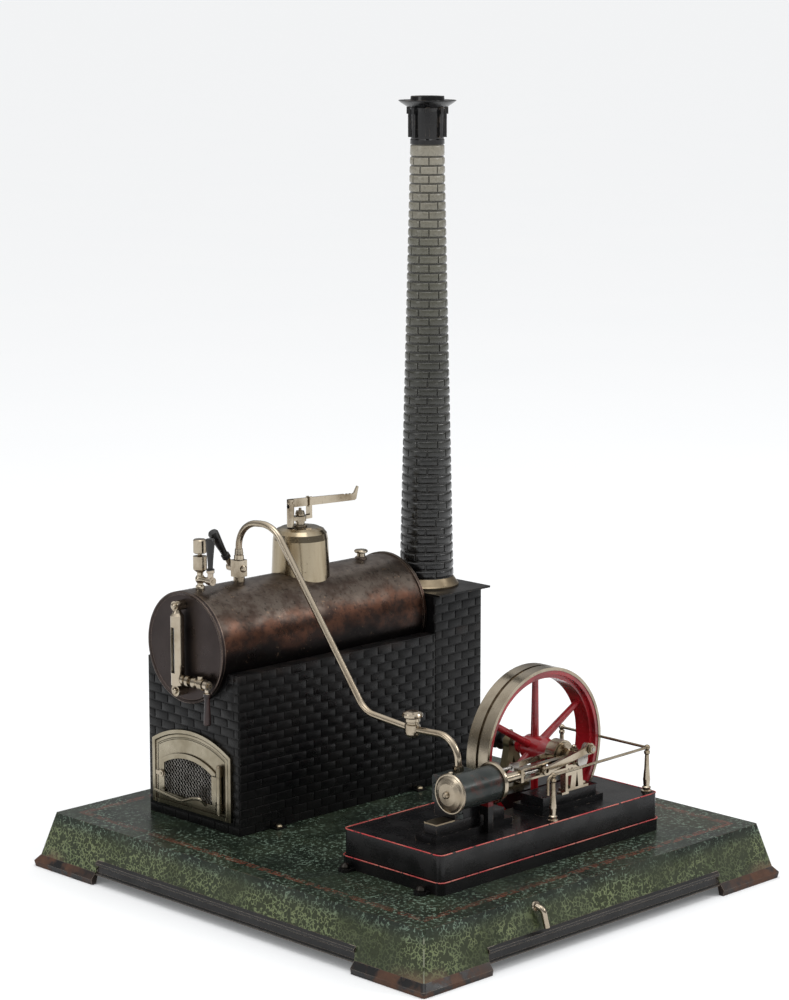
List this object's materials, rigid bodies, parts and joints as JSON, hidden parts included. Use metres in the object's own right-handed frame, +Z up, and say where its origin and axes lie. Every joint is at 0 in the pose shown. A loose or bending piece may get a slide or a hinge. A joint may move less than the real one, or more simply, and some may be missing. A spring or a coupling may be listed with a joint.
{
  "type": "model steam engine",
  "caption": "Toy mill engine on a green marbled tin tray: boiler on a brick-pattern house, tall round chimney, and a horizontal engine with a red-spoked flywheel.",
  "frame": {"origin": "centre of the tray, on the floor plane under its feet", "axes": "+Z up, +X along the boiler towards the chimney, +Y from the engine to the boiler house"},
  "size_m": [0.364, 0.4006, 0.5516],
  "materials": {
    "tray_green": "glossy marbled enamel, worn at the corners",
    "black_tin": "black japanned tin, satin, worn edges",
    "brick_black": "pressed brick relief under black enamel",
    "chimney_brick": "pressed brick relief, sprayed light at the top to dark at the foot",
    "nickel": "aged nickel plate",
    "boiler_bronze": "browned, heat-darkened metal",
    "brass": "dull brass",
    "red_paint": "glossy red enamel",
    "dark_steel": "blued dark steel with thin paint",
    "wood_black": "black stained turned wood",
    "wood_brown": "dark red-brown turned wood",
    "steel": "bright steel",
    "glass": "clear tube",
    "mesh_dark": "blackened woven wire"
  },
  "bodies": {
    "frame": {"base_tray": "tray_green", "base_frame": "black_tin", "drain_spout": "nickel", "boiler_house": "brick_black", "hold_down_screws": "black_tin", "fire_door_frame": "nickel", "door_hinge_pin": "nickel", "spirit_burner": "brass", "chimney_block": "brick_black", "block_top_plate": "black_tin", "chimney_flange": "brass", "chimney_stack": "chimney_brick", "chimney_cap": "black_tin", "boiler_shell": "boiler_bronze", "boiler_front_end": "boiler_bronze", "boiler_rear_end": "boiler_bronze", "gauge_body": "nickel", "gauge_glass": "glass", "whistle_base": "nickel", "whistle_bell": "nickel", "stop_valve_body": "nickel", "pipe_unions": "nickel", "steam_dome": "nickel", "safety_valve_body": "nickel", "steam_pipe": "nickel", "lubricator_body": "nickel", "engine_bed": "black_tin", "cylinder": "dark_steel", "cylinder_front_cover": "nickel", "cylinder_rear_cover": "nickel", "cylinder_stand": "black_tin", "steam_chest": "dark_steel", "crosshead_guide": "nickel", "cylinder_foot_plate": "brass", "near_bearing": "nickel", "far_bearing": "black_tin", "bearing_bolts": "nickel", "handrail_posts": "nickel", "handrails": "nickel"},
    "fire_door": {"fire_door": "nickel", "door_mesh": "mesh_dark"},
    "door_latch": {"door_latch": "nickel"},
    "whistle_cock": {"whistle_cock_handle": "wood_black"},
    "stop_valve": {"stop_valve_handle": "wood_black"},
    "test_cock": {"test_cock_handle": "wood_brown"},
    "safety_lever": {"safety_lever": "nickel"},
    "safety_plug": {"safety_valve_plug": "nickel"},
    "lubricator_cap": {"lubricator_cap": "nickel"},
    "filler_plug": {"filler_plug": "nickel"},
    "crank": {"crankshaft": "steel", "crank_pin_nut": "nickel", "eccentric_sheave": "nickel", "flywheel_rim": "nickel", "flywheel_centre": "red_paint", "drive_pulley": "black_tin"},
    "connecting_rod": {"connecting_rod": "nickel"},
    "eccentric_rod": {"eccentric_rod": "nickel"},
    "piston": {"piston": "steel", "crosshead": "nickel"},
    "slide_valve": {"slide_valve": "steel"}
  },
  "joints": [
    {"name": "crank_spin", "type": "hinge", "parent": "frame", "child": "crank", "pos_m": [0.0431, -0.0874, 0.1006], "axis": [0, 1, 0], "continuous": true},
    {"name": "connecting_rod_swing", "type": "hinge", "parent": "crank", "child": "connecting_rod", "pos_m": [0.04826, -0.1343, 0.10797], "axis": [0, 1, 0], "continuous": true},
    {"name": "eccentric_rod_swing", "type": "hinge", "parent": "crank", "child": "eccentric_rod", "pos_m": [0.04038, -0.1138, 0.10187], "axis": [0, 1, 0], "continuous": true},
    {"name": "piston_slide", "type": "slide", "parent": "frame", "child": "piston", "axis": [1, 0, 0], "range_m": [-0.01477, 0.00323]},
    {"name": "valve_slide", "type": "slide", "parent": "frame", "child": "slide_valve", "axis": [1, 0, 0], "range_m": [-0.00028, 0.00572]},
    {"name": "fire_door_hinge", "type": "hinge", "parent": "frame", "child": "fire_door", "pos_m": [-0.1203, 0.0647, 0.071], "axis": [0, 0, 1], "range_deg": [0, 110]},
    {"name": "door_latch_turn", "type": "hinge", "parent": "fire_door", "child": "door_latch", "pos_m": [-0.1206, 0.1266, 0.072], "axis": [1, 0, 0], "range_deg": [0, 90]},
    {"name": "whistle_cock_turn", "type": "hinge", "parent": "frame", "child": "whistle_cock", "pos_m": [-0.1084, 0.0848, 0.2175], "axis": [0, -1, 0], "range_deg": [0, 90]},
    {"name": "stop_valve_turn", "type": "hinge", "parent": "frame", "child": "stop_valve", "pos_m": [-0.0716, 0.104, 0.2203], "axis": [0, 1, 0], "range_deg": [0, 90]},
    {"name": "test_cock_turn", "type": "hinge", "parent": "frame", "child": "test_cock", "pos_m": [-0.1289, 0.0663, 0.1485], "axis": [0, 1, 0], "range_deg": [0, 90]},
    {"name": "safety_lever_lift", "type": "hinge", "parent": "frame", "child": "safety_lever", "pos_m": [-0.0211, 0.096, 0.2614], "axis": [0, -1, 0], "range_deg": [0, 25]},
    {"name": "safety_plug_lift", "type": "slide", "parent": "frame", "child": "safety_plug", "axis": [0, 0, 1], "range_m": [0, 0.0009]},
    {"name": "lubricator_cap_lift", "type": "slide", "parent": "frame", "child": "lubricator_cap", "axis": [0, 0, 1], "range_m": [0, 0.006]},
    {"name": "filler_plug_lift", "type": "slide", "parent": "frame", "child": "filler_plug", "axis": [0, 0, 1], "range_m": [0, 0.01]}
  ],
  "couplings": [
    {"joint": "connecting_rod_swing", "follows": "crank_spin", "ratio": -1},
    {"joint": "eccentric_rod_swing", "follows": "crank_spin", "ratio": -1}
  ]
}
